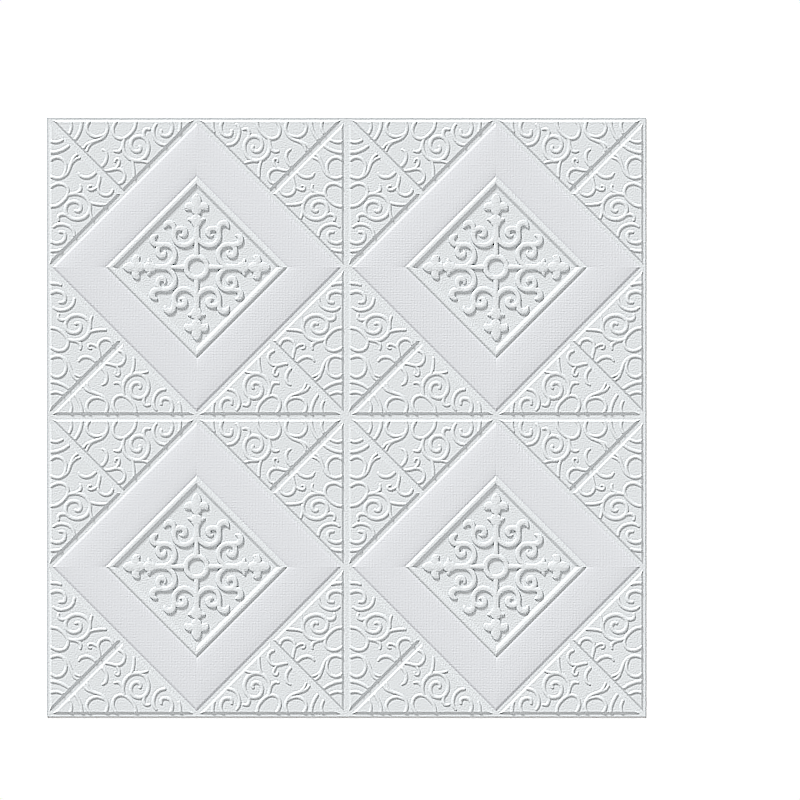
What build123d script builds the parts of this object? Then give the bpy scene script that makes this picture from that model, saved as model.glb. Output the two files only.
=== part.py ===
"""Self-adhesive embossed foam wall panel: one moulded square sheet, 2 x 2 repeats.

The panel lies on its back: the flat adhesive face is on z = 0 and the embossed
face looks up.  x runs to the right and y towards the top edge of the pattern.
Every repeat is a square with a padded diamond in it, and two scroll pads in each
corner.  All of it is one sheet of closed-cell foam, hot-pressed in a mould, so it
is one solid: the pressed lines are thin, and the pads between them stand proud.
"""

import os
from math import sqrt

from build123d import *

# ---- driving dimensions, mm -------------------------------------------------
PANEL = 700.0            # side of the square sheet
REPEATS = 2              # repeats of the pattern along each side
CELL = PANEL / REPEATS   # side of one repeat
HALF = CELL / 2

Z_GROOVE = 1.3           # thickness left under the pressed lines and at the edge
Z_PAD = 3.7              # flat of the corner pads
Z_RIM = 3.2              # the diamond band where it rises out of the pressed line
Z_CREASE = 2.95          # the crease between the band and the bead frame
Z_CROWN = 4.38           # crown of the diamond band
Z_BEAD = 5.5             # top of the bead frame, the highest point of the sheet
Z_WELL = 1.8             # floor of the well inside the bead frame
Z_RING = 5.0             # top of the ring in the middle of each well

# Pressed lines, as offsets from the line they follow.
SEAM_FOOT, SEAM_TOP = 2.9, 5.6           # between repeats, and at the edge
MITRE_FOOT, MITRE_TOP = 2.2, 4.8         # across each corner
LINE_FOOT_OUT, LINE_TOP_OUT = 0.0, 2.7   # round the diamond, corner-pad side
LINE_FOOT_IN, LINE_TOP_IN = 4.3, 7.3     # round the diamond, band side

APOTHEM = HALF / sqrt(2)                # from a repeat's middle to its diamond line
CROWN_IN = 30.0                         # the band's crown, in from the diamond line
BEAD_OUT, BEAD_IN = 48.6, 57.9          # feet of the bead frame, in from that line
BEAD_FLAT_OUT, BEAD_FLAT_IN = 51.3, 54.4  # flat on top of the bead

RING_R, RING_BORE = 15.5, 9.3           # the ring in the middle: outside, inside
RING_TAPER = 1.3                        # how far its walls lean in
# -----------------------------------------------------------------------------

BURY = 0.6  # how far each raised feature starts below the surface it stands on


def corner_pad():
    """One scroll pad, between the repeat's corner (0, 0), its edge's middle and
    the middle of the diamond's side, as a frustum with its own wall on each side."""

    def outline(edge, mitre, line):
        # Lines: y = edge, x - y = mitre * sqrt 2, x + y = HALF - line * sqrt 2
        m, n = mitre * sqrt(2), HALF - line * sqrt(2)
        return [(edge + m, edge), (n - edge, edge), ((n + m) / 2, (n - m) / 2)]

    # The walls run on down below the pressed line, at the same lean.
    k = BURY / (Z_PAD - Z_GROOVE)
    low = [
        f - k * (t - f)
        for f, t in (
            (SEAM_FOOT, SEAM_TOP),
            (MITRE_FOOT, MITRE_TOP),
            (LINE_FOOT_OUT, LINE_TOP_OUT),
        )
    ]
    foot = Plane.XY.offset(Z_GROOVE - BURY) * make_face(
        Polyline(*outline(*low), close=True)
    )
    top = Plane.XY.offset(Z_PAD) * make_face(
        Polyline(*outline(SEAM_TOP, MITRE_TOP, LINE_TOP_OUT), close=True)
    )
    return loft([foot, top], ruled=True)


def band_side():
    """One side of the diamond: groove wall, padded band, bead and well, as a bar
    along y with its section in xz, cut to a mitre at each end.  The repeat's
    middle is at the origin and the side is at +x."""

    def r(inward):
        return APOTHEM - inward

    low = Z_GROOVE - BURY
    lean = (LINE_TOP_IN - LINE_FOOT_IN) / (Z_RIM - Z_GROOVE)
    outer_foot = (r(LINE_FOOT_IN - lean * BURY), low)
    outer_top = (r(LINE_TOP_IN), Z_RIM)
    crown = (r(CROWN_IN), Z_CROWN)
    crease = (r(BEAD_OUT), Z_CREASE)
    with BuildSketch(Plane.XZ) as section:
        with BuildLine():
            Line((0, low), outer_foot)
            Line(outer_foot, outer_top)
            Spline(
                outer_top, crown, crease, tangents=[(-1.0, 0.14), (-1.0, -0.25)]
            )
            Line(crease, (r(BEAD_FLAT_OUT), Z_BEAD))
            Line((r(BEAD_FLAT_OUT), Z_BEAD), (r(BEAD_FLAT_IN), Z_BEAD))
            Line((r(BEAD_FLAT_IN), Z_BEAD), (r(BEAD_IN), Z_WELL))
            Line((r(BEAD_IN), Z_WELL), (0, Z_WELL))
            Line((0, Z_WELL), (0, low))
        make_face()
    bar = extrude(section.sketch, amount=HALF, both=True)
    wedge = extrude(
        make_face(Polyline((0, 0), (HALF, -HALF), (HALF, HALF), close=True)),
        amount=Z_BEAD * 2,
    )
    return bar & wedge


def ring():
    """The raised ring in the middle of the well."""
    outer = Cone(
        RING_R,
        RING_R - RING_TAPER,
        Z_RING - Z_WELL + BURY,
        align=(Align.CENTER, Align.CENTER, Align.MIN),
    )
    inner = Cone(
        RING_BORE,
        RING_BORE + RING_TAPER,
        Z_RING - Z_WELL,
        align=(Align.CENTER, Align.CENTER, Align.MIN),
    )
    return Pos(0, 0, Z_WELL - BURY) * outer - Pos(0, 0, Z_WELL) * inner


sheet = Pos(0, 0, Z_GROOVE / 2) * Box(PANEL, PANEL, Z_GROOVE)

pad = corner_pad()                       # in a frame with the repeat's corner at 0
pad = Pos(-HALF, -HALF, 0) * pad         # the repeat's middle at 0
pads = [pad, mirror(pad, about=Plane.YZ)]
pads = [Rot(0, 0, 90 * k) * p for p in pads for k in range(4)]
side = band_side()
diamond = [Rot(0, 0, 45 + 90 * k) * side for k in range(4)]
diamond = diamond[0].fuse(*diamond[1:], ring())

places = [
    Pos((i + 0.5) * CELL - PANEL / 2, (j + 0.5) * CELL - PANEL / 2, 0)
    for i in range(REPEATS)
    for j in range(REPEATS)
]
raised = [at * p for at in places for p in (*pads, diamond)]
panel = sheet.fuse(*raised).clean()
panel = panel.solids()[0] if len(panel.solids()) == 1 else panel

os.makedirs("parts", exist_ok=True)
export_step(panel, "parts/foam_panel.step")

box = panel.bounding_box()
print("solids", len(panel.solids()), "faces", len(panel.faces()), "valid", panel.is_valid)
print("volume cm3", panel.volume / 1000, "size", box.size)
print("mean thickness", panel.volume / PANEL**2)
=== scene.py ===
import math

import bpy
import numpy as np
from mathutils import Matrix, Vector
from mathutils.geometry import delaunay_2d_cdt


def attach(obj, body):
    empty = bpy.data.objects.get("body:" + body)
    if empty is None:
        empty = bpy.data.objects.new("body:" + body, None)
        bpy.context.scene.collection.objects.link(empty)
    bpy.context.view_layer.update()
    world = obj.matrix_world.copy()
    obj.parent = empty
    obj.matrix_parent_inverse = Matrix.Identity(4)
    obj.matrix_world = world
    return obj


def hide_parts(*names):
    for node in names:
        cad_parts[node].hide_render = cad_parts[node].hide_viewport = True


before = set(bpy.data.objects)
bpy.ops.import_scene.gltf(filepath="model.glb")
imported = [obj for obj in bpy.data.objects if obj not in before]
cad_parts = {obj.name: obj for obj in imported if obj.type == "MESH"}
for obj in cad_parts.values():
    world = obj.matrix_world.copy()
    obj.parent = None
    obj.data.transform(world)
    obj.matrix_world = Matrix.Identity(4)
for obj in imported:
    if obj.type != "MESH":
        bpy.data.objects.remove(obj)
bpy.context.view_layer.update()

# ---------------------------------------------------------------------------
# The panel is a square sheet of two by two like cells. Each cell has the full
# symmetry of a square, so the whole relief is one triangle, from a cell's
# corner (0, 0) to the middle of its edge (175, 0) and to its centre
# (175, 175), mirrored 32 times. Lengths here are millimetres, y from the
# cell's edge inwards.
# ---------------------------------------------------------------------------
PANEL = 700.0
HALF = 175.0
R2 = math.sqrt(2.0)

Z_GROOVE = 1.3     # pressed lines
Z_PAD = 3.7        # corner fields
SCROLL_H = 1.56    # scrolls above the corner fields
MED_H = 3.25       # medallion above its ground


def pchip(xk, yk):
    """Monotone cubic through the given points, flat outside them."""
    xk, yk = np.asarray(xk, float), np.asarray(yk, float)
    h = np.diff(xk)
    d = np.diff(yk) / h
    m = np.zeros_like(xk)
    for i in range(1, len(xk) - 1):
        if d[i - 1] * d[i] > 0:
            w1, w2 = 2 * h[i] + h[i - 1], h[i] + 2 * h[i - 1]
            m[i] = (w1 + w2) / (w1 / d[i - 1] + w2 / d[i])

    def f(x):
        x = np.clip(x, xk[0], xk[-1])
        i = np.clip(np.searchsorted(xk, x, side="right") - 1, 0, len(h) - 1)
        t = (x - xk[i]) / h[i]
        t2, t3 = t * t, t * t * t
        return ((2 * t3 - 3 * t2 + 1) * yk[i] + (t3 - 2 * t2 + t) * h[i] * m[i]
                + (3 * t2 - 2 * t3) * yk[i + 1] + (t3 - t2) * h[i] * m[i + 1])
    return f


# Walls of a corner field, as the share of the field's height that is reached
# at a distance from the seam, from the corner's diagonal and from the diamond.
SEAM_X = [2.7, 3.05, 3.6, 4.25, 4.9, 5.5, 6.1]
SEAM_F = [0.0, 0.07, 0.28, 0.56, 0.82, 0.96, 1.0]
MITRE_X = [2.0, 2.35, 2.85, 3.45, 4.05, 4.65, 5.2]
MITRE_F = [0.0, 0.07, 0.28, 0.56, 0.82, 0.96, 1.0]
LINE_X = [-0.2, 0.15, 0.65, 1.25, 1.9, 2.5, 3.1]
LINE_F = [0.0, 0.07, 0.28, 0.56, 0.82, 0.96, 1.0]
seam_f, mitre_f, line_f = pchip(SEAM_X, SEAM_F), pchip(MITRE_X, MITRE_F), pchip(LINE_X, LINE_F)

# Section of the diamond, from the pressed line over the padded band and the
# bead down to the medallion's ground.
BAND_S = [0.2, 4.0, 4.4, 5.0, 5.7, 6.4, 7.0, 7.6, 8.4, 9.5, 11.0, 13.0, 15.5, 18.5, 22.0, 26.0, 31.0, 35.0,
          38.0, 40.5, 42.5, 44.2, 45.8, 47.0, 47.9, 48.6,
          49.0, 49.5, 50.1, 50.8, 51.4, 52.1, 53.0,
          53.9, 54.5, 55.1, 55.8, 56.5, 57.2, 57.9, 58.5]
BAND_Z = [1.30, 1.30, 1.40, 1.80, 2.32, 2.80, 3.09, 3.26, 3.39, 3.53, 3.71, 3.89, 4.06, 4.20, 4.30, 4.36, 4.38, 4.36,
          4.30, 4.20, 4.06, 3.89, 3.68, 3.43, 3.15, 2.96,
          3.06, 3.48, 4.14, 4.88, 5.28, 5.46, 5.50,
          5.43, 5.20, 4.74, 3.98, 3.16, 2.42, 1.95, 1.80]
band_z = pchip(BAND_S, BAND_Z)

# Raised scroll work of a corner field: centre lines, half width, and the
# share of that width left at the first and last end.
SCROLLS = [
    ([(28.1, 5.0), (29.0, 9.7), (28.6, 13.3), (26.7, 18.1)], 1.65, 1.0, 0.9),
    ([(41.0, 5.0), (40.4, 10.9), (38.8, 15.9), (36.6, 20.7), (33.7, 25.1)], 1.85, 1.0, 0.9),
    ([(49.4, 5.0), (47.1, 9.1), (46.6, 12.0), (47.3, 15.5), (49.4, 18.9), (52.8, 21.4), (56.3, 22.6), (60.4, 22.6),
      (64.2, 21.6), (67.2, 20.2), (69.2, 18.4)], 1.75, 1.0, 0.9),
    ([(69.3, 5.0), (71.0, 11.2), (70.7, 15.3), (69.1, 19.0), (66.9, 22.2), (63.6, 24.8), (59.5, 26.6), (55.5, 28.1),
      (51.6, 29.5), (48.4, 30.8), (45.8, 32.5), (43.5, 35.4)], 1.80, 1.0, 0.72),
    ([(57.0, 27.5), (53.4, 29.2), (50.6, 31.5), (48.5, 34.7), (47.2, 38.5)], 1.60, 0.9, 0.75),
    ([(80.9, 5.0), (78.0, 10.6), (77.3, 14.5), (78.0, 18.8), (79.6, 21.8), (82.0, 23.8), (85.3, 24.9), (88.6, 24.9),
      (91.6, 23.9), (94.4, 22.1), (97.3, 19.6), (100.8, 15.6), (103.3, 10.8), (104.1, 5.0)], 1.75, 1.0, 1.0),
    ([(93.2, 23.0), (91.2, 24.4), (90.1, 26.6), (89.4, 30.0), (88.8, 33.4), (87.6, 36.3), (85.9, 38.5), (84.0, 39.7),
      (82.0, 40.0), (79.3, 39.4)], 1.80, 0.8, 0.72),
    ([(89.4, 30.0), (89.1, 33.5), (89.5, 37.2), (90.6, 40.6), (92.4, 43.8), (95.2, 46.9), (98.8, 49.2), (102.6, 50.4),
      (106.2, 50.6), (109.8, 49.9), (113.0, 48.1), (115.8, 45.3), (117.7, 42.0), (118.8, 38.5), (119.1, 34.6),
      (118.5, 30.8), (117.1, 27.6), (115.0, 24.8), (112.4, 22.9), (109.0, 22.0), (105.4, 22.3), (102.2, 23.5),
      (99.8, 26.0), (98.4, 29.6), (98.3, 33.2), (99.4, 36.4), (101.3, 38.6), (103.8, 39.8), (106.4, 39.8),
      (108.4, 38.8), (109.6, 37.0), (109.7, 35.4), (109.0, 34.0)], 2.05, 0.8, 0.85),
    ([(116.6, 27.0), (114.7, 24.4), (113.5, 21.6), (113.2, 18.6), (113.8, 15.9), (115.2, 14.1), (117.2, 13.4),
      (119.9, 13.9)], 1.85, 0.8, 0.8),
    ([(127.9, 8.2), (125.8, 11.4), (124.7, 16.4), (125.2, 20.7), (126.9, 25.5), (129.8, 29.1), (133.5, 31.4),
      (137.9, 32.3)], 1.75, 0.8, 0.95),
    ([(133.8, 15.4), (133.8, 18.2), (134.6, 20.1), (136.1, 21.2), (138.4, 21.6), (140.8, 21.3), (143.0, 20.3),
      (144.9, 18.4), (146.3, 15.0), (146.8, 10.8), (145.1, 5.0)], 1.95, 0.85, 1.0),
    ([(156.2, 5.0), (155.9, 10.5), (155.4, 13.8), (154.5, 16.4)], 1.75, 1.0, 0.9),
    ([(65.4, 37.5), (68.1, 39.4), (69.4, 41.5), (70.2, 44.6), (69.9, 48.8), (68.1, 53.0), (65.2, 56.4)], 1.85, 0.65, 0.9),
    ([(79.9, 51.5), (80.2, 49.9), (81.1, 48.9), (82.4, 48.5), (83.7, 48.9), (84.7, 50.1), (85.0, 51.9), (84.4, 54.3),
      (83.0, 57.0), (81.3, 59.6)], 1.50, 0.8, 1.0),
    ([(69.4, 62.1), (72.4, 61.9), (75.6, 61.2), (78.8, 60.3), (82.0, 59.9), (85.0, 60.4), (87.6, 61.8), (89.6, 64.0),
      (90.9, 66.9), (91.1, 70.1), (90.0, 73.4), (88.0, 75.7), (85.0, 77.1)], 1.70, 0.8, 0.95),
    ([(98.0, 48.8), (99.6, 51.0), (100.6, 54.2), (101.4, 58.4), (101.9, 63.6), (101.9, 68.8)], 1.65, 0.9, 0.9),
    ([(103.0, 50.5), (107.0, 50.8), (110.5, 51.0), (113.6, 51.6), (117.5, 52.9)], 1.60, 0.9, 0.85),
]

# Medallion: x, y, half width and share of the height, along each stroke.
MEDALLION = [
    [(173.5, 141.5, 3.10, 1), (171.6, 144.0, 3.10, 1), (169.0, 146.4, 3.10, 1), (165.4, 148.6, 3.10, 1), (161.1, 149.7, 3.10, 1),
     (156.7, 149.2, 3.00, 1), (152.9, 147.2, 3.00, 1), (150.1, 143.9, 3.00, 1), (148.7, 139.8, 3.00, 1), (148.7, 135.6, 3.00, 1),
     (149.8, 132.6, 3.00, 1), (151.8, 130.6, 3.00, 1), (154.6, 129.7, 3.00, 1), (157.6, 129.8, 3.10, 1), (160.0, 130.8, 3.35, 0.98),
     (161.4, 132.6, 3.50, 0.95), (161.5, 134.9, 3.50, 0.92), (160.6, 136.8, 3.10, 0.87), (159.0, 138.0, 2.45, 0.80),
     (157.2, 138.2, 1.70, 0.70), (155.8, 137.6, 1.15, 0.58)],
    [(148.8, 133.5, 2.90, 1), (148.7, 129.5, 3.00, 1), (147.9, 126.4, 3.30, 1), (146.2, 124.4, 3.60, 1), (143.9, 123.4, 3.70, 1),
     (141.5, 123.5, 3.60, 1), (139.7, 124.7, 3.10, 0.97), (138.5, 126.5, 2.40, 0.90), (137.7, 128.6, 1.42, 0.78)],
    [(175, 161.6, 3.10, 1), (175, 158.6, 3.10, 1), (175, 154.0, 2.80, 1), (175, 150.5, 2.70, 1), (175, 147.0, 2.80, 1), (175, 143.0, 3.60, 1),
     (175, 139.0, 3.90, 1), (175, 135.5, 3.60, 1), (175, 131.5, 3.40, 1), (175, 127.5, 3.70, 1), (175, 124.5, 4.60, 1),
     (175, 121.8, 6.30, 1), (175, 119.6, 6.50, 1), (175, 117.4, 3.90, 1), (175, 114.2, 3.30, 1), (175, 111.4, 3.90, 1),
     (175, 108.5, 5.90, 1), (175, 104.5, 6.70, 1), (175, 100.5, 6.10, 1), (175, 97.0, 5.80, 1), (175, 94.4, 4.70, 0.95),
     (175, 92.4, 3.40, 0.85), (175, 91.0, 2.10, 0.72)],
    [(175, 121.3, 3.50, 1), (172.2, 120.8, 3.20, 1), (169.4, 119.9, 2.70, 0.97), (167.3, 119.2, 2.10, 0.9), (166.0, 119.0, 1.42, 0.75)],
    [(175, 104.6, 5.50, 1), (171.0, 104.2, 5.10, 1), (167.6, 103.8, 4.70, 1), (165.0, 104.2, 4.20, 0.97), (163.7, 105.7, 3.20, 0.9),
     (163.2, 107.4, 1.90, 0.75)],
]
RING_R, RING_W = 12.4, 3.15


def catmull(P, step):
    """Centripetal Catmull-Rom through the points; columns after x, y follow along."""
    P = np.asarray(P, float)
    Q = np.vstack([2 * P[0] - P[1], P, 2 * P[-1] - P[-2]])
    out = []
    for k in range(1, len(Q) - 2):
        p0, p1, p2, p3 = Q[k - 1:k + 3]
        t0 = 0.0
        t1 = t0 + np.linalg.norm((p1 - p0)[:2]) ** 0.5
        t2 = t1 + np.linalg.norm((p2 - p1)[:2]) ** 0.5
        t3 = t2 + np.linalg.norm((p3 - p2)[:2]) ** 0.5
        n = max(2, int(math.ceil(np.linalg.norm((p2 - p1)[:2]) / step)))
        t = np.linspace(t1, t2, n, endpoint=False)[:, None]
        a1 = (t1 - t) / (t1 - t0) * p0 + (t - t0) / (t1 - t0) * p1
        a2 = (t2 - t) / (t2 - t1) * p1 + (t - t1) / (t2 - t1) * p2
        a3 = (t3 - t) / (t3 - t2) * p2 + (t - t2) / (t3 - t2) * p3
        b1 = (t2 - t) / (t2 - t0) * a1 + (t - t0) / (t2 - t0) * a2
        b2 = (t3 - t) / (t3 - t1) * a2 + (t - t1) / (t3 - t1) * a3
        out.append((t2 - t) / (t2 - t1) * b1 + (t - t1) / (t2 - t1) * b2)
    out.append(P[-1:])
    return np.vstack(out)


def arc_length(R):
    return np.r_[0.0, np.cumsum(np.linalg.norm(np.diff(R[:, :2], axis=0), axis=1))]


def scroll_paths():
    paths = []
    for pts, w, first, last in SCROLLS:
        R = catmull(pts, 0.4)
        d = arc_length(R)
        taper = 5.0
        f = np.minimum(first + (1 - first) * np.clip(d / taper, 0, 1), last + (1 - last) * np.clip((d[-1] - d) / taper, 0, 1))
        paths.append(np.c_[R, w * f, f ** 0.5])
    return paths


def medallion_paths():
    paths = [catmull(p, 0.4) for p in MEDALLION]
    a = np.radians(np.arange(80.0, 146.0, 1.8))
    paths.append(np.c_[HALF + RING_R * np.cos(a), HALF - RING_R * np.sin(a), np.full(len(a), RING_W), np.ones(len(a))])
    mirrored = []
    for p in paths:
        for q in (np.c_[p[:, 1], p[:, 0], p[:, 2:]], np.c_[2 * HALF - p[:, 0], p[:, 1:]]):
            inside = np.minimum(np.minimum(q[:, 1], (q[:, 0] - q[:, 1]) / R2), HALF - q[:, 0]) > -7.0
            if inside.sum() > 1:
                k = np.flatnonzero(inside)
                mirrored.append(q[max(0, k[0] - 1):k[-1] + 2])
    return paths, mirrored


SCROLL_PATHS = scroll_paths()
MED_PATHS, MED_MIRRORED = medallion_paths()


def field(P, paths):
    """Per path: how far each point lies inside the stroke's outline, and the stroke's share of height there."""
    E = np.full((len(paths), len(P)), -9.0)
    F = np.ones((len(paths), len(P)))
    for k, path in enumerate(paths):
        m = path[:, 2].max() + 2.0
        lo, hi = path[:, :2].min(0) - m, path[:, :2].max(0) + m
        near = np.flatnonzero(((P >= lo) & (P <= hi)).all(1))
        a, ab = path[:-1, :2], np.diff(path[:, :2], axis=0)
        l2 = (ab ** 2).sum(1)
        for c in np.array_split(near, max(1, len(near) // 20000)):
            if not len(c):
                continue
            p = P[c]
            t = np.clip(((p[:, None, :] - a[None]) * ab[None]).sum(2) / l2, 0, 1)
            q = a[None] + t[..., None] * ab[None] - p[:, None, :]
            e = path[:-1, 2] + t * np.diff(path[:, 2]) - np.sqrt((q ** 2).sum(2))
            i = e.argmax(1)
            r = np.arange(len(c))
            E[k, c] = e[r, i]
            F[k, c] = path[:-1, 3][i] + t[r, i] * np.diff(path[:, 3])[i]
    return E, F


def inward(e, soft):
    """e where it is positive, eased in at the outline."""
    return np.where(e < -soft, 0.0, np.where(e > soft, e, (e + soft) ** 2 / (4 * soft)))


def cord(e, w):
    """Rounded section of a stroke, w from its outline to its flat top."""
    return np.sqrt(np.maximum(1 - (1 - np.minimum(e / w, 1)) ** 2, 0))


def union(Z, k=0.3):
    """Highest of the strokes, with a small fillet where two of them meet."""
    top = Z[0]
    for z in Z[1:]:
        low = np.minimum(top, z)
        ke = k * np.clip(low / 0.5, 0, 1)
        gap = np.maximum(ke - np.abs(top - z), 0)
        top = np.maximum(top, z) + np.where(ke > 1e-6, gap * gap / (4 * np.maximum(ke, 1e-6)), 0)
    return top


def scroll_height(P):
    E, F = field(P, SCROLL_PATHS)
    return union(SCROLL_H * F * cord(inward(E + 0.1, 0.5), 1.85))


def medallion_height(P):
    E, F = field(P, MED_PATHS + MED_MIRRORED)
    e = inward(E, 0.35)
    dome = 1 - (1 - np.minimum(e / 3.2, 1)) ** 2
    return union(MED_H * F * (0.72 * cord(e, 1.3) + 0.24 * dome + 0.04 * np.minimum(e / 7.0, 1)), 0.4)


def height(P):
    x, y = P[:, 0], P[:, 1]
    s, t = (x + y - HALF) / R2, (x - y) / R2
    H = band_z(s)
    pad = s < 0.2
    if pad.any():
        q = P[pad]
        wall = np.minimum(np.minimum(seam_f(q[:, 1]), mitre_f(t[pad])), line_f(-s[pad]))
        H[pad] = Z_GROOVE + wall * (Z_PAD - Z_GROOVE + scroll_height(q))
    med = s > 55.0
    if med.any():
        H[med] += medallion_height(P[med])
    return H


# --- points of the triangle -------------------------------------------------
def contours(F, x0, y0, h, level):
    """Lines of one level through a grid of values, as arrays of points."""
    G = F - level
    G[G == 0] = 1e-9
    S = (G > 0).astype(int)
    code = S[:-1, :-1] + 2 * S[:-1, 1:] + 4 * S[1:, 1:] + 8 * S[1:, :-1]
    where, links = {}, {}

    def spot(kind, j, i):
        key = (kind, j, i)
        if key not in where:
            a = G[j, i]
            b = G[j, i + 1] if kind == 0 else G[j + 1, i]
            f = a / (a - b)
            where[key] = (x0 + (i + (f if kind == 0 else 0)) * h, y0 + (j + (0 if kind == 0 else f)) * h)
        return key

    for j, i in zip(*np.nonzero((code > 0) & (code < 15))):
        sides = []
        if S[j, i] != S[j, i + 1]:
            sides.append(spot(0, j, i))
        if S[j, i + 1] != S[j + 1, i + 1]:
            sides.append(spot(1, j, i + 1))
        if S[j + 1, i] != S[j + 1, i + 1]:
            sides.append(spot(0, j + 1, i))
        if S[j, i] != S[j + 1, i]:
            sides.append(spot(1, j, i))
        if len(sides) == 2:
            pairs = [(sides[0], sides[1])]
        else:
            mid = G[j:j + 2, i:i + 2].mean() > 0
            if mid == (S[j, i] > 0):
                pairs = [(sides[0], sides[1]), (sides[2], sides[3])]
            else:
                pairs = [(sides[0], sides[3]), (sides[1], sides[2])]
        for a, b in pairs:
            links.setdefault(a, []).append(b)
            links.setdefault(b, []).append(a)
    lines, used = [], set()
    starts = [k for k, v in links.items() if len(v) == 1] + list(links)
    for k in starts:
        if k in used:
            continue
        line = [k]
        used.add(k)
        while True:
            nxt = [n for n in links[line[-1]] if n not in used]
            if not nxt:
                break
            used.add(nxt[0])
            line.append(nxt[0])
        closed = len(line) > 3 and line[0] in links[line[-1]]
        pts = [where[q] for q in line]
        if closed:
            pts.append(pts[0])
        if len(pts) > 3:
            lines.append(np.array(pts))
    return lines


def spaced(R, max_turn, max_step, min_step):
    """The line again with points as far apart as its bends allow."""
    d = arc_length(R)
    if d[-1] < min_step:
        return R[[0, -1]]
    n = max(4, int(d[-1] / 0.35))
    s = np.linspace(0, d[-1], n)
    Q = np.c_[np.interp(s, d, R[:, 0]), np.interp(s, d, R[:, 1])]
    T = np.diff(Q, axis=0)
    a = np.unwrap(np.arctan2(T[:, 1], T[:, 0]))
    a = np.r_[a[0], 0.5 * (a[1:] + a[:-1]), a[-1]]
    w = min(7, 2 * ((n - 1) // 2) - 1)
    if w >= 3:
        a = np.convolve(np.pad(a, w // 2, mode="edge"), np.ones(w) / w, "valid")
    dens = np.clip(np.abs(np.gradient(a, s)) / math.radians(max_turn), 1 / max_step, 1 / min_step)
    c = np.r_[0, np.cumsum(0.5 * (dens[1:] + dens[:-1]) * np.diff(s))]
    k = max(1, int(round(c[-1])))
    at = np.interp(np.linspace(0, c[-1], k + 1), c, s)
    return np.c_[np.interp(at, s, Q[:, 0]), np.interp(at, s, Q[:, 1])]


def clipped(R, inside):
    """The stretches of a line where inside(points) is positive, cut where it is zero."""
    g = inside(R)
    out, cur = [], []
    for i in range(len(R)):
        if g[i] > 0:
            if not cur and i > 0 and g[i - 1] <= 0:
                f = g[i - 1] / (g[i - 1] - g[i])
                cur.append(R[i - 1] + f * (R[i] - R[i - 1]))
            cur.append(R[i])
        elif cur:
            f = g[i - 1] / (g[i - 1] - g[i])
            cur.append(R[i - 1] + f * (R[i] - R[i - 1]))
            out.append(np.array(cur))
            cur = []
    if len(cur) > 1:
        out.append(np.array(cur))
    return [c for c in out if len(c) > 1 and arc_length(c)[-1] > 0.3]


def in_triangle(P):
    return np.minimum(np.minimum(P[:, 1], (P[:, 0] - P[:, 1]) / R2), HALF - P[:, 0])


def in_pad(P):
    s, t = (P[:, 0] + P[:, 1] - HALF) / R2, (P[:, 0] - P[:, 1]) / R2
    return np.minimum(np.minimum(P[:, 1] - SEAM_X[0], t - MITRE_X[0]), -s - LINE_X[0])


def to_side(p):
    """A point that lies on a side of the triangle to within rounding, put exactly on it."""
    x, y = p
    d = (abs(y), abs(x - y) / R2, abs(HALF - x))
    k = int(np.argmin(d))
    if d[k] > 0.02:
        return p
    if k == 0:
        return (x, 0.0)
    if k == 1:
        m = 0.5 * (x + y)
        return (m, m)
    return (HALF, y)


verts, edges = [], []


def add_line(R):
    first = True
    for i, p in enumerate(R):
        p = to_side(p)
        end = i in (0, len(R) - 1)
        if not end and 1e-9 < min(p[1], (p[0] - p[1]) / R2, HALF - p[0]) < 0.3:
            continue
        verts.append((float(p[0]), float(p[1])))
        if not first:
            edges.append((len(verts) - 2, len(verts) - 1))
        first = False


def grid_field(x0, x1, y0, y1, h, paths):
    xs, ys = np.arange(x0, x1 + h / 2, h), np.arange(y0, y1 + h / 2, h)
    X, Y = np.meshgrid(xs, ys)
    P = np.c_[X.ravel(), Y.ravel()]
    E, _ = field(P, paths)
    return E.max(0).reshape(X.shape)


SCROLL_LEVELS = (-0.6, 0.0, 0.65)
MED_LEVELS = (-0.35, 0.1, 0.6, 1.3)
grid = grid_field(0, 176, 0, 92, 0.5, SCROLL_PATHS)
for level in SCROLL_LEVELS:
    for line in contours(grid.copy(), 0, 0, 0.5, level):
        for part in clipped(line, in_pad):
            add_line(spaced(part, 24, 3.2, 1.0))
for path in SCROLL_PATHS:
    for part in clipped(path[:, :2], in_pad):
        add_line(spaced(part, 22, 3.2, 1.0))

grid = grid_field(124, 184, 84, 186, 0.5, MED_PATHS + MED_MIRRORED)
for level in MED_LEVELS:
    for line in contours(grid.copy(), 124, 84, 0.5, level):
        for part in clipped(line, in_triangle):
            add_line(spaced(part, 22, 3.0, 1.0))
for path in MED_PATHS:
    if np.ptp(path[:, 0]) > 0.1:
        for part in clipped(path[:, :2], in_triangle):
            add_line(spaced(part, 22, 3.0, 1.0))


def row(a, b, step, busy=None):
    """A straight row of points from a to b, closer together where busy(points) is true."""
    a, b = np.asarray(a, float), np.asarray(b, float)
    n = max(2, int(np.linalg.norm(b - a) / 0.4) + 1)
    Q = a + np.linspace(0, 1, n)[:, None] * (b - a)
    dens = np.full(n, 1 / step)
    if busy is not None:
        dens[busy(Q)] = 1 / 1.5
    c = np.r_[0, np.cumsum(0.5 * (dens[1:] + dens[:-1]) * np.linalg.norm(np.diff(Q, axis=0), axis=1))]
    k = max(1, int(round(c[-1])))
    at = np.interp(np.linspace(0, c[-1], k + 1), c, np.linspace(0, 1, n))
    return a + at[:, None] * (b - a)


def near_scroll(Q):
    E, _ = field(Q, SCROLL_PATHS)
    return E.max(0) > -0.8


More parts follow.
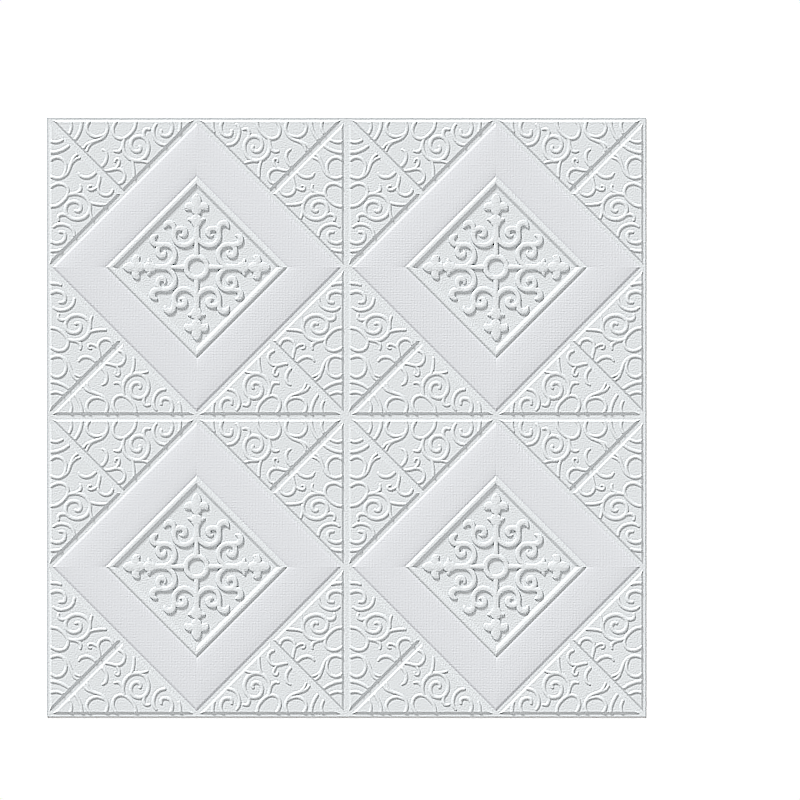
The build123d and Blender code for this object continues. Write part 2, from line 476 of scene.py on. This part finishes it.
# Nested outlines of a corner field, one for each share of its height.
for share in (0.0, 0.07, 0.30, 0.6, 0.88, 1.0):
    def at(xk, f):
        fine = np.linspace(xk[0], xk[-1], 600)
        return float(np.interp(share, f(fine), fine))
    y, t, o = at(SEAM_X, seam_f), at(MITRE_X, mitre_f), at(LINE_X, line_f)
    A = (y + R2 * t, y)
    B = (HALF - R2 * o - y, y)
    D = ((HALF - R2 * o + R2 * t) / 2, (HALF - R2 * o - R2 * t) / 2)
    for a, b in ((A, B), (B, D), (D, A)):
        add_line(row(a, b, 9.0, near_scroll if share > 0.1 else None))

# Rows along the diamond, each from the triangle's diagonal to its upright side.
for s in BAND_S[1:]:
    m = (HALF + R2 * s) / 2
    add_line(row((m, m), (HALF, R2 * s), 25.0))

# The sides of the triangle.
add_line(row((0, 0), (HALF, 0), 8.0))
add_line(row((0, 0), (HALF / 2, HALF / 2), 12.0))
verts.extend([(HALF, HALF)])
verts.extend([tuple(p) for p in row((HALF, 90.0), (HALF, HALF), 2.6)])
m0 = (HALF + R2 * 60.5) / 2
verts.extend([(m, m) for m in np.linspace(m0, HALF, 22)])

out_v, out_e, out_f, _, _, _ = delaunay_2d_cdt([Vector(v) for v in verts], edges, [], 0, 0.06)
V = np.array([(v.x, v.y) for v in out_v], float)
for i in range(len(V)):
    V[i] = to_side(V[i])
T = np.array([f for f in out_f if len(f) == 3], int)
area = 0.5 * np.cross(V[T[:, 1]] - V[T[:, 0]], V[T[:, 2]] - V[T[:, 0]])
T = T[np.abs(area) > 1e-4]
Z = height(V)


def normals_at(P):
    h = 0.03
    dx = (height(P + [h, 0]) - height(P - [h, 0])) / (2 * h)
    dy = (height(P + [0, h]) - height(P - [0, h])) / (2 * h)
    n = np.c_[-dx, -dy, np.ones(len(P))]
    return n / np.linalg.norm(n, axis=1)[:, None]


# One normal for each corner of a face, read just inside it so that creases
# stay sharp; corners that agree share one normal.
mid = V[T].mean(1)
corner = (V[T] + 0.08 * (mid[:, None, :] - V[T])).reshape(-1, 2)
CN = normals_at(corner)
flat = T.ravel()
mean = np.zeros((len(V), 3))
np.add.at(mean, flat, CN)
mean /= np.maximum(np.linalg.norm(mean, axis=1), 1e-9)[:, None]
worst = np.ones(len(V))
np.minimum.at(worst, flat, (CN * mean[flat]).sum(1))
smooth = worst > math.cos(math.radians(7))
CN[smooth[flat]] = mean[flat][smooth[flat]]

# Share of linen weave: all of the padded band, none elsewhere.
S = (V[:, 0] + V[:, 1] - HALF) / R2
linen = np.interp(S, [4.0, 4.4, 7.0, 9.5, 44.2, 47.0, 47.9, 48.6], [0.0, 1.4, 1.4, 1.0, 1.0, 1.3, 1.3, 0.0])

# --- the whole panel: 32 mirrored triangles ---------------------------------
pos, tri, nor, lin = [], [], [], []
base = 0
for cj in (0, 1):
    for ci in (0, 1):
        for swap in (0, 1):
            for mx in (0, 1):
                for my in (0, 1):
                    x, y = (V[:, 1], V[:, 0]) if swap else (V[:, 0], V[:, 1])
                    nx, ny = (CN[:, 1], CN[:, 0]) if swap else (CN[:, 0], CN[:, 1])
                    if mx:
                        x, nx = 2 * HALF - x, -nx
                    if my:
                        y, ny = 2 * HALF - y, -ny
                    X, Y = x + 2 * HALF * ci - PANEL / 2, PANEL / 2 - y - 2 * HALF * cj
                    pos.append(np.c_[X, Y, Z])
                    n = np.c_[nx, -ny, CN[:, 2]].reshape(-1, 3, 3)
                    f = T.copy()
                    a = np.cross(np.c_[X, Y][f[0, 1]] - np.c_[X, Y][f[0, 0]], np.c_[X, Y][f[0, 2]] - np.c_[X, Y][f[0, 0]])
                    if a < 0:
                        f, n = f[:, ::-1], n[:, ::-1]
                    tri.append(f + base)
                    nor.append(n)
                    lin.append(linen)
                    base += len(V)
pos, tri, nor, lin = np.vstack(pos), np.vstack(tri), np.concatenate(nor), np.concatenate(lin)
key = np.round(pos[:, :2] * 1000).astype(np.int64)
_, first, back = np.unique(key[:, 0] * 4000000 + key[:, 1], return_index=True, return_inverse=True)
back = back.ravel()
pos, lin, tri = pos[first], lin[first], back[tri]

# Edge walls and back.
rim = np.flatnonzero((np.abs(np.abs(pos[:, 0]) - PANEL / 2) < 1e-6) | (np.abs(np.abs(pos[:, 1]) - PANEL / 2) < 1e-6))
turn = np.arctan2(pos[rim, 1], pos[rim, 0])
rim = rim[np.argsort(turn)]
n_top, n_rim = len(pos), len(rim)
low = pos[rim] * [1, 1, 0]
pos = np.vstack([pos, low, [[0.0, 0.0, 0.0]]])
lin = np.r_[lin, np.zeros(n_rim + 1)]
faces = [tuple(map(int, f)) for f in tri]
loop_n = [tuple(v) for v in nor.reshape(-1, 3)]
for i in range(n_rim):
    j = (i + 1) % n_rim
    a, b, c, d = rim[i], rim[j], n_top + j, n_top + i
    m = 0.5 * (pos[a] + pos[b])
    out = (math.copysign(1, m[0]), 0, 0) if abs(m[0]) > abs(m[1]) else (0, math.copysign(1, m[1]), 0)
    faces.append((int(d), int(c), int(b), int(a)))
    loop_n.extend([out] * 4)
centre = len(pos) - 1
for i in range(n_rim):
    j = (i + 1) % n_rim
    faces.append((centre, n_top + j, n_top + i))
    loop_n.extend([(0, 0, -1)] * 3)

mesh = bpy.data.meshes.new("foam_relief")
mesh.from_pydata([tuple(p) for p in pos / 1000.0], [], faces)
mesh.validate(clean_customdata=False)
mesh.polygons.foreach_set("use_smooth", np.ones(len(mesh.polygons), bool))
if len(mesh.loops) == len(loop_n):
    mesh.normals_split_custom_set(loop_n)
layer = mesh.attributes.new("linen", "FLOAT", "POINT")
layer.data.foreach_set("value", lin.astype(np.float32))

# A flat layout of the surface: the face fills most of it, the edges lie in
# strips beside it and the back is small in the corner.
uv = mesh.uv_layers.new(name="OFBake")
co = np.zeros(len(mesh.vertices) * 3)
mesh.vertices.foreach_get("co", co)
co = co.reshape(-1, 3)
loops = np.zeros(len(mesh.loops), int)
mesh.loops.foreach_get("vertex_index", loops)
flat_uv = 0.005 + 0.93 * (co[loops, :2] + 0.35) / 0.70
n_tri = 3 * len(tri)
for f in range(n_rim):
    k = n_tri + 4 * f
    p = co[loops[k:k + 4]]
    side = 0 if abs(p[:, 1].mean() + 0.35) < 1e-6 else 1 if abs(p[:, 0].mean() - 0.35) < 1e-6 else 2 if abs(p[:, 1].mean() - 0.35) < 1e-6 else 3
    along = p[:, 0] if side in (0, 2) else p[:, 1]
    flat_uv[k:k + 4, 0] = 0.945 + 0.004 * side + p[:, 2] / 0.70 * 0.9
    flat_uv[k:k + 4, 1] = 0.005 + 0.93 * (along + 0.35) / 0.70
k = n_tri + 4 * n_rim
flat_uv[k:] = 0.945 + 0.05 * (co[loops[k:], :2] + 0.35) / 0.70
flat_uv[k:, 0] = 0.945 + 0.05 * (0.35 - co[loops[k:], 0]) / 0.70
uv.uv.foreach_set("vector", flat_uv.astype(np.float32).ravel())

panel = bpy.data.objects.new("foam_relief", mesh)
bpy.context.collection.objects.link(panel)
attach(panel, "root")
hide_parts("foam_panel")


# --- foam -------------------------------------------------------------------
class Nodes:
    def __init__(self, name):
        self.mat = bpy.data.materials.new(name)
        self.mat.use_nodes = True
        self.tree = self.mat.node_tree
        self.bsdf = self.tree.nodes["Principled BSDF"]

    def new(self, kind, **values):
        n = self.tree.nodes.new(kind)
        for k, v in values.items():
            setattr(n, k, v)
        return n

    def link(self, a, b):
        self.tree.links.new(a, b)

    def math(self, op, a, b=None, c=None):
        n = self.new("ShaderNodeMath", operation=op)
        for i, v in enumerate((a, b, c)):
            if v is None:
                continue
            if isinstance(v, (int, float)):
                n.inputs[i].default_value = v
            else:
                self.link(v, n.inputs[i])
        return n.outputs[0]

    def noise(self, vector, scale, detail=2.0, rough=0.5):
        n = self.new("ShaderNodeTexNoise")
        n.inputs["Scale"].default_value = scale
        n.inputs["Detail"].default_value = detail
        n.inputs["Roughness"].default_value = rough
        self.link(vector, n.inputs["Vector"])
        return n.outputs[0]


N = Nodes("foam_white")
coord = N.new("ShaderNodeTexCoord").outputs["Object"]
split = N.new("ShaderNodeSeparateXYZ")
N.link(coord, split.inputs[0])
X, Y = split.outputs["X"], split.outputs["Y"]
weave_mask = N.new("ShaderNodeAttribute", attribute_name="linen").outputs["Fac"]

# Linen: crossing threads that pass over and under each other. Each thread has
# its own strength, which also changes slowly along it.
WARP, WEFT = 0.00350, 0.00315


def stretched(sx, sy, sz):
    v = N.new("ShaderNodeCombineXYZ")
    N.link(N.math("MULTIPLY", X, sx), v.inputs[0])
    N.link(N.math("MULTIPLY", Y, sy), v.inputs[1])
    v.inputs[2].default_value = sz
    return N.noise(v.outputs[0], 1.0, 1.0)


def strength(n):
    return N.math("MAXIMUM", N.math("MULTIPLY_ADD", N.math("SUBTRACT", n, 0.5), 2.4, 1.0), 0.2)


wob = N.noise(coord, 130.0, 1.0)
jitter = N.math("MULTIPLY", N.math("SUBTRACT", wob, 0.5), 0.0007)
px = N.math("MULTIPLY", N.math("ADD", X, jitter), math.pi / WARP)
py = N.math("MULTIPLY", N.math("ADD", Y, jitter), math.pi / WEFT)
warp = N.math("MULTIPLY", N.math("ABSOLUTE", N.math("SINE", px)), strength(stretched(210.0, 22.0, 3.7)))
weft = N.math("MULTIPLY", N.math("ABSOLUTE", N.math("SINE", py)), strength(stretched(22.0, 230.0, 8.1)))
over = N.math("MULTIPLY", N.math("COSINE", px), N.math("COSINE", py))
over = N.math("MULTIPLY_ADD", over, 0.30, 0.57)
under = N.math("SUBTRACT", 1.0, over)
thread = N.math("ADD", N.math("MULTIPLY", warp, over), N.math("MULTIPLY", weft, under))
slub = N.noise(coord, 330.0, 2.0)
thread = N.math("MULTIPLY_ADD", slub, 0.25, N.math("MULTIPLY_ADD", thread, 1.0, -0.125))
cloth = N.math("MULTIPLY", thread, weave_mask)

# Heights in millimetres.
grain = N.noise(coord, 1400.0, 2.0, 0.6)
skin = N.noise(coord, 520.0, 1.0, 0.5)
swell = N.noise(coord, 60.0, 2.0, 0.5)
surface = N.math("MULTIPLY_ADD", grain, 0.035, N.math("MULTIPLY", cloth, 0.105))
surface = N.math("MULTIPLY_ADD", skin, N.math("MULTIPLY_ADD", N.math("MINIMUM", weave_mask, 1.0), -0.25, 0.45), surface)
surface = N.math("MULTIPLY_ADD", swell, 0.10, surface)
bump = N.new("ShaderNodeBump")
bump.inputs["Strength"].default_value = 1.0
bump.inputs["Distance"].default_value = 0.001
N.link(surface, bump.inputs["Height"])
N.link(bump.outputs["Normal"], N.bsdf.inputs["Normal"])

patch = N.math("MULTIPLY_ADD", N.noise(coord, 12.0, 3.0, 0.6), 0.6, N.math("MULTIPLY", N.noise(coord, 800.0, 2.0), 0.4))


def tint(low, high):
    n = N.new("ShaderNodeMixRGB")
    n.inputs[1].default_value = (*low, 1)
    n.inputs[2].default_value = (*high, 1)
    N.link(patch, n.inputs[0])
    return n.outputs[0]


tone = N.new("ShaderNodeMixRGB")
N.link(N.math("MINIMUM", weave_mask, 1.0), tone.inputs[0])
N.link(tint((0.672, 0.693, 0.703), (0.706, 0.726, 0.737)), tone.inputs[1])
N.link(tint((0.662, 0.673, 0.694), (0.695, 0.706, 0.728)), tone.inputs[2])
N.link(tone.outputs[0], N.bsdf.inputs["Base Color"])
rough = N.math("MULTIPLY_ADD", grain, 0.14, 0.56)
N.link(rough, N.bsdf.inputs["Roughness"])
N.bsdf.inputs["Specular IOR Level"].default_value = 0.15
mesh.materials.append(N.mat)

# --- floor, light, camera ---------------------------------------------------
fl = bpy.data.meshes.new("floor")
fl.from_pydata([(-60, -60, -0.0003), (60, -60, -0.0003), (60, 60, -0.0003), (-60, 60, -0.0003)], [], [(0, 1, 2, 3)])
floor = bpy.data.objects.new("floor", fl)
bpy.context.collection.objects.link(floor)
fm = Nodes("floor_white")
fm.bsdf.inputs["Base Color"].default_value = (0.97, 0.97, 0.97, 1)
fm.bsdf.inputs["Roughness"].default_value = 0.9
fm.bsdf.inputs["Specular IOR Level"].default_value = 0.0
fl.materials.append(fm.mat)

scene = bpy.context.scene
world = bpy.data.worlds.new("studio")
world.use_nodes = True
world.node_tree.nodes["Background"].inputs["Color"].default_value = (1, 1, 1, 1)
world.node_tree.nodes["Background"].inputs["Strength"].default_value = 0.689
scene.world = world

KEY_AZ, KEY_EL = 116.0, 31.0
sun = bpy.data.lights.new("key", "SUN")
sun.energy = 2.42
sun.angle = math.radians(18)
sun_o = bpy.data.objects.new("key", sun)
d = Vector((math.cos(math.radians(KEY_AZ)) * math.cos(math.radians(KEY_EL)),
            math.sin(math.radians(KEY_AZ)) * math.cos(math.radians(KEY_EL)), math.sin(math.radians(KEY_EL))))
sun_o.rotation_euler = (-d).to_track_quat("-Z", "Y").to_euler()
sun_o.location = d * 3
bpy.context.collection.objects.link(sun_o)

cam = bpy.data.cameras.new("camera")
cam.sensor_width = 36.0
cam.sensor_fit = "HORIZONTAL"
DIST = 6.0
FRAME_W = 0.9350
cam.lens = cam.sensor_width * (DIST - 0.003) / FRAME_W
cam.clip_end = 50
cam_o = bpy.data.objects.new("camera", cam)
cam_o.location = (0.0628, 0.0199, DIST)
bpy.context.collection.objects.link(cam_o)
scene.camera = cam_o
scene.view_settings.view_transform = "Standard"
scene.view_settings.look = "None"

# Crisp lines, as a lens and a print would give them.
scene.use_nodes = True
post = scene.node_tree
post.nodes.clear()
taken = post.nodes.new("CompositorNodeRLayers")
crisp = post.nodes.new("CompositorNodeFilter")
crisp.filter_type = "SHARPEN"
crisp.inputs["Fac"].default_value = 0.295
shown = post.nodes.new("CompositorNodeComposite")
post.links.new(taken.outputs["Image"], crisp.inputs["Image"])
post.links.new(crisp.outputs["Image"], shown.inputs["Image"])

print("RELIEF verts", len(mesh.vertices), "triangle verts", len(V), "faces", len(T), "all triangles", len(tri) + 3 * n_rim, "rim", n_rim)
